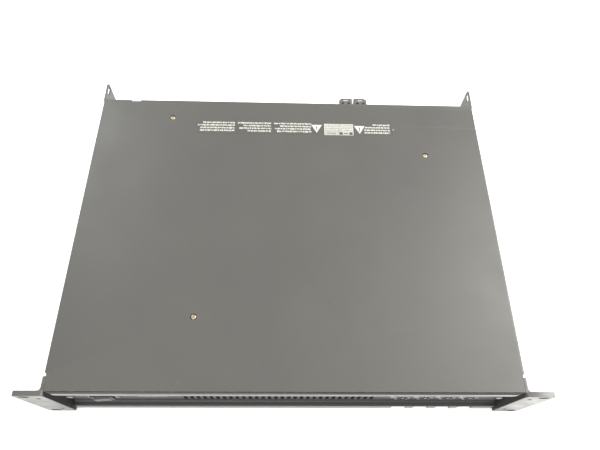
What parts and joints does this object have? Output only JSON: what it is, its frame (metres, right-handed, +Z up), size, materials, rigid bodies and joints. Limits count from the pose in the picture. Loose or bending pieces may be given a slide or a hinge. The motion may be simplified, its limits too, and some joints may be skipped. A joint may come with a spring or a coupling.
{
  "type": "rack power amplifier",
  "caption": "Rack-mount audio power amplifier in a flat black steel case with thick front ears, a slotted recessed front with level controls and a power rocker, and rear support ears.",
  "frame": {"origin": "middle of the footprint, at the underside of the case and ears", "axes": "+X to the right seen from the front, along the width over the rack ears; +Y from the front panel to the rear; +Z up"},
  "size_m": [0.4826, 0.359, 0.0881],
  "materials": {
    "black_powder_coat": "fine textured powder coat",
    "black_anodised": "satin black anodised extrusion",
    "front_bezel_finish": "satin black painted extrusion",
    "yellow_zinc": "yellow zinc plated steel screws",
    "zinc_plated": "bright zinc plate",
    "black_plastic": "moulded, fine spark texture",
    "grey_plastic": "moulded satin",
    "red_plastic": "tinted moulding",
    "clear_lens": "frosted light guide",
    "board_green": "solder mask over glass fibre board",
    "bare_aluminium": "as extruded",
    "terminal_black": "moulded terminal housing",
    "copper_winding": "enamelled copper wire",
    "ferrite": "sintered ferrite and tape",
    "capacitor_sleeve": "shrunk sleeve"
  },
  "bodies": {
    "chassis": {"chassis_tray": "black_powder_coat", "top_cover": "black_powder_coat", "rear_panel": "black_powder_coat", "rear_ear_left": "black_powder_coat", "rear_ear_right": "black_powder_coat", "rack_ear_left": "black_anodised", "rack_ear_right": "black_anodised", "front_panel": "front_bezel_finish", "cover_screw_1": "yellow_zinc", "cover_screw_2": "yellow_zinc", "cover_screw_3": "yellow_zinc", "panel_screw_left": "zinc_plated", "panel_screw_right": "zinc_plated", "fan_guard": "zinc_plated", "level_pot_1": "zinc_plated", "level_pot_2": "zinc_plated", "level_pot_3": "zinc_plated", "level_pot_4": "zinc_plated", "power_switch_housing": "black_plastic", "fan_frame": "black_plastic", "mains_inlet": "black_plastic", "breaker_body": "black_plastic", "xlr_input_1": "black_plastic", "xlr_input_2": "black_plastic", "xlr_input_3": "black_plastic", "xlr_input_4": "black_plastic", "power_led": "red_plastic", "level_lens_bar": "clear_lens", "control_board": "board_green", "input_board": "board_green", "power_supply_board": "board_green", "amplifier_board": "board_green", "heatsink_left": "bare_aluminium", "heatsink_right": "bare_aluminium", "output_header": "terminal_black", "mains_choke": "copper_winding", "output_inductor_1": "copper_winding", "output_inductor_2": "copper_winding", "output_inductor_3": "copper_winding", "output_inductor_4": "copper_winding", "switching_transformer": "ferrite", "bulk_capacitor_1": "capacitor_sleeve", "bulk_capacitor_2": "capacitor_sleeve"},
    "power_rocker": {"power_switch_rocker": "grey_plastic"},
    "fan_wheel": {"fan_rotor": "black_plastic"},
    "breaker_reset": {"breaker_button": "red_plastic"},
    "level_1": {"level_knob_1": "black_plastic"},
    "xlr_release_1": {"xlr_latch_1": "zinc_plated"},
    "plug_1": {"output_plug_1": "terminal_black"},
    "level_2": {"level_knob_2": "black_plastic"},
    "xlr_release_2": {"xlr_latch_2": "zinc_plated"},
    "plug_2": {"output_plug_2": "terminal_black"},
    "level_3": {"level_knob_3": "black_plastic"},
    "xlr_release_3": {"xlr_latch_3": "zinc_plated"},
    "plug_3": {"output_plug_3": "terminal_black"},
    "level_4": {"level_knob_4": "black_plastic"},
    "xlr_release_4": {"xlr_latch_4": "zinc_plated"},
    "plug_4": {"output_plug_4": "terminal_black"}
  },
  "joints": [
    {"name": "power_rocker_tilt", "type": "hinge", "parent": "chassis", "child": "power_rocker", "pos_m": [-0.1806, -0.1675, 0.029], "axis": [0, 0, 1], "range_deg": [-8, 0]},
    {"name": "fan_spin", "type": "hinge", "parent": "chassis", "child": "fan_wheel", "pos_m": [-0.008, 0.1375, 0.044], "axis": [0, 1, 0], "continuous": true},
    {"name": "breaker_reset_pop", "type": "slide", "parent": "chassis", "child": "breaker_reset", "axis": [0, 1, 0], "range_m": [0, 0.005]},
    {"name": "level_1_turn", "type": "hinge", "parent": "chassis", "child": "level_1", "pos_m": [0.1152, -0.1709, 0.027], "axis": [0, 1, 0], "range_deg": [-140, 140]},
    {"name": "level_2_turn", "type": "hinge", "parent": "chassis", "child": "level_2", "pos_m": [0.13806, -0.1709, 0.027], "axis": [0, 1, 0], "range_deg": [-140, 140]},
    {"name": "level_3_turn", "type": "hinge", "parent": "chassis", "child": "level_3", "pos_m": [0.16092, -0.1709, 0.027], "axis": [0, 1, 0], "range_deg": [-140, 140]},
    {"name": "level_4_turn", "type": "hinge", "parent": "chassis", "child": "level_4", "pos_m": [0.18378, -0.1709, 0.027], "axis": [0, 1, 0], "range_deg": [-140, 140]},
    {"name": "xlr_1_release", "type": "slide", "parent": "chassis", "child": "xlr_release_1", "axis": [0, -1, 0], "range_m": [0, 0.0018], "stiffness_N_per_m": 400, "springref_m": -0.002},
    {"name": "xlr_2_release", "type": "slide", "parent": "chassis", "child": "xlr_release_2", "axis": [0, -1, 0], "range_m": [0, 0.0018], "stiffness_N_per_m": 400, "springref_m": -0.002},
    {"name": "xlr_3_release", "type": "slide", "parent": "chassis", "child": "xlr_release_3", "axis": [0, -1, 0], "range_m": [0, 0.0018], "stiffness_N_per_m": 400, "springref_m": -0.002},
    {"name": "xlr_4_release", "type": "slide", "parent": "chassis", "child": "xlr_release_4", "axis": [0, -1, 0], "range_m": [0, 0.0018], "stiffness_N_per_m": 400, "springref_m": -0.002},
    {"name": "plug_1_pull", "type": "slide", "parent": "chassis", "child": "plug_1", "axis": [0, 1, 0], "range_m": [0, 0.014]},
    {"name": "plug_2_pull", "type": "slide", "parent": "chassis", "child": "plug_2", "axis": [0, 1, 0], "range_m": [0, 0.014]},
    {"name": "plug_3_pull", "type": "slide", "parent": "chassis", "child": "plug_3", "axis": [0, 1, 0], "range_m": [0, 0.014]},
    {"name": "plug_4_pull", "type": "slide", "parent": "chassis", "child": "plug_4", "axis": [0, 1, 0], "range_m": [0, 0.014]}
  ]
}
